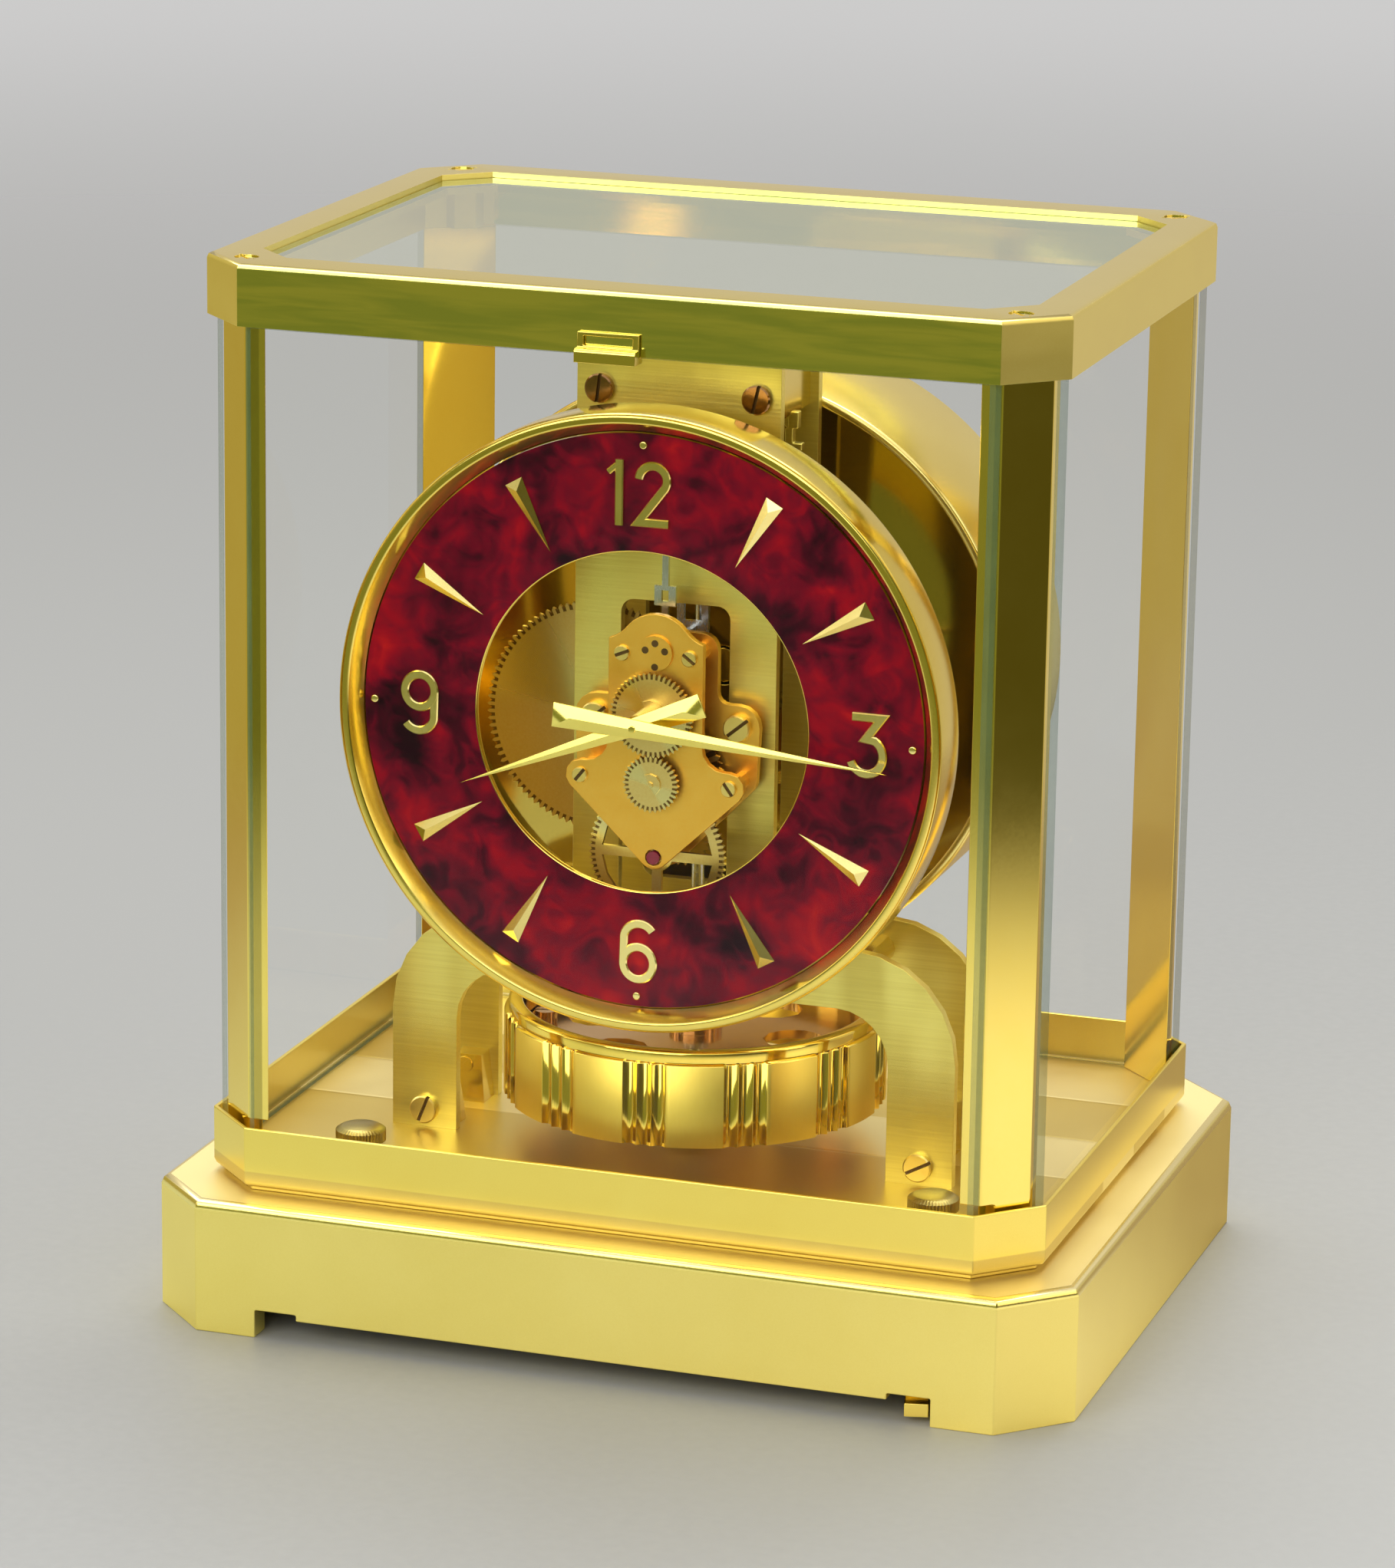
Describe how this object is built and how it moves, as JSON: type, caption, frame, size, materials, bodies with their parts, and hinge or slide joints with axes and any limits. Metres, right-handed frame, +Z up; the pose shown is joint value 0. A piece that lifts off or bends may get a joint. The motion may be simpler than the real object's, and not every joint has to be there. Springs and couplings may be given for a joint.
{
  "type": "atmospheric clock",
  "caption": "Gilt glass-cased mantel clock with a dial ring, open gear train, bellows drum and a torsion pendulum hung from a wire",
  "frame": {"origin": "centre of the base's underside", "axes": "+Z up, the dial faces -Y, +X to the viewer's right"},
  "size_m": [0.209, 0.165, 0.235],
  "materials": {
    "satin_gilt": "satin gilt brass",
    "polished_gilt": "polished gilt brass",
    "rose_gilt": "rose gilt brass",
    "steel": "brushed steel",
    "glass": "clear with a green edge",
    "red_lacquer": "glossy marbled red lacquer",
    "ruby": "polished ruby"
  },
  "bodies": {
    "case": {"base_casting": "satin_gilt", "plinth_tray": "satin_gilt", "post_front_left": "satin_gilt", "post_front_right": "satin_gilt", "post_back_left": "satin_gilt", "post_back_right": "satin_gilt", "left_pane": "glass", "right_pane": "glass", "back_pane": "glass", "top_frame": "satin_gilt", "top_pane": "glass", "front_frame_plate": "satin_gilt", "rear_frame_plate": "satin_gilt", "front_foot_block_left": "polished_gilt", "front_foot_block_right": "polished_gilt", "rear_foot_block_left": "polished_gilt", "rear_foot_block_right": "polished_gilt", "frame_pillar_left": "polished_gilt", "frame_pillar_right": "polished_gilt", "suspension_block": "polished_gilt", "suspension_wire": "steel", "bellows_drum": "satin_gilt", "drum_face": "polished_gilt", "bellows": "polished_gilt", "bezel": "polished_gilt", "dial_ring": "red_lacquer", "front_movement_plate": "rose_gilt", "rear_movement_plate": "rose_gilt", "pallet_bush": "polished_gilt", "third_jewel": "ruby", "barrel_arbor": "steel", "plate_screw_upper_left": "polished_gilt", "plate_screw_upper_right": "polished_gilt", "plate_screw_lower_left": "polished_gilt", "plate_screw_lower_right": "polished_gilt", "wing_screw_left": "polished_gilt", "wing_screw_right": "polished_gilt", "foot_screw_left": "polished_gilt", "foot_screw_right": "polished_gilt", "suspension_screw_left": "polished_gilt", "suspension_screw_right": "polished_gilt"},
    "front_door": {"front_pane": "glass", "pane_catch": "polished_gilt"},
    "lock": {"lock_lever": "polished_gilt"},
    "plunger": {"lock_plunger": "steel"},
    "level_left": {"levelling_screw_left": "polished_gilt"},
    "level_right": {"levelling_screw_right": "polished_gilt"},
    "expansion": {"bellows_cap": "polished_gilt"},
    "pendulum": {"pendulum_ring": "polished_gilt", "pendulum_web": "rose_gilt", "pendulum_staff": "steel"},
    "minute": {"minute_hand": "polished_gilt", "centre_arbor": "polished_gilt"},
    "hour": {"hour_hand": "polished_gilt", "hour_wheel": "polished_gilt"},
    "motion": {"minute_wheel": "polished_gilt"},
    "third": {"third_wheel": "polished_gilt"},
    "barrel": {"great_wheel": "polished_gilt"},
    "escape": {"escape_wheel": "polished_gilt"},
    "pallets": {"pallet_lever": "steel"}
  },
  "joints": [
    {"name": "pane_lean", "type": "hinge", "parent": "case", "child": "front_door", "pos_m": [0, -0.0722, 0.0446], "axis": [1, 0, 0], "range_deg": [0, 10]},
    {"name": "lock_turn", "type": "hinge", "parent": "case", "child": "lock", "pos_m": [0.069, -0.064, 0.0093], "axis": [0, 0, 1], "range_deg": [-28, 0]},
    {"name": "plunger_lift", "type": "slide", "parent": "case", "child": "plunger", "axis": [0, 0, 1], "range_m": [0, 0.0077]},
    {"name": "level_left_turn", "type": "hinge", "parent": "case", "child": "level_left", "pos_m": [-0.066, -0.0464, 0.02], "axis": [0, 0, 1], "range_deg": [-720, 720]},
    {"name": "level_right_turn", "type": "hinge", "parent": "case", "child": "level_right", "pos_m": [0.066, -0.0464, 0.02], "axis": [0, 0, 1], "range_deg": [-720, 720]},
    {"name": "bellows_push", "type": "slide", "parent": "case", "child": "expansion", "axis": [0, -1, 0], "range_m": [0, 0.005], "stiffness_N_per_m": 400},
    {"name": "pendulum_twist", "type": "hinge", "parent": "case", "child": "pendulum", "pos_m": [0, -0.0107, 0.1], "axis": [0, 0, 1], "range_deg": [-240, 240], "stiffness_Nm_per_rad": 0.0000045},
    {"name": "minute_turn", "type": "hinge", "parent": "case", "child": "minute", "pos_m": [0, -0.05, 0.1382], "axis": [0, 1, 0], "continuous": true},
    {"name": "hour_turn", "type": "hinge", "parent": "case", "child": "hour", "pos_m": [0, -0.05, 0.1382], "axis": [0, 1, 0], "continuous": true},
    {"name": "motion_turn", "type": "hinge", "parent": "case", "child": "motion", "pos_m": [0, -0.04, 0.123], "axis": [0, 1, 0], "continuous": true},
    {"name": "third_turn", "type": "hinge", "parent": "case", "child": "third", "pos_m": [0, -0.035, 0.106], "axis": [0, 1, 0], "continuous": true},
    {"name": "barrel_turn", "type": "hinge", "parent": "case", "child": "barrel", "pos_m": [-0.0196, -0.017, 0.1311], "axis": [0, 1, 0], "continuous": true},
    {"name": "escape_turn", "type": "hinge", "parent": "case", "child": "escape", "pos_m": [-0.0044, -0.037, 0.1444], "axis": [0, 1, 0], "continuous": true},
    {"name": "pallet_rock", "type": "hinge", "parent": "case", "child": "pallets", "pos_m": [0, -0.03, 0.1515], "axis": [0, 1, 0], "range_deg": [-3, 3]}
  ],
  "couplings": [
    {"joint": "plunger_lift", "follows": "lock_turn", "m_per_rad": -0.015756},
    {"joint": "motion_turn", "follows": "minute_turn", "ratio": -0.125},
    {"joint": "hour_turn", "follows": "minute_turn", "ratio": 0.083333},
    {"joint": "third_turn", "follows": "minute_turn", "ratio": 0.013889},
    {"joint": "barrel_turn", "follows": "minute_turn", "ratio": -0.0034722},
    {"joint": "escape_turn", "follows": "minute_turn", "ratio": -4}
  ]
}
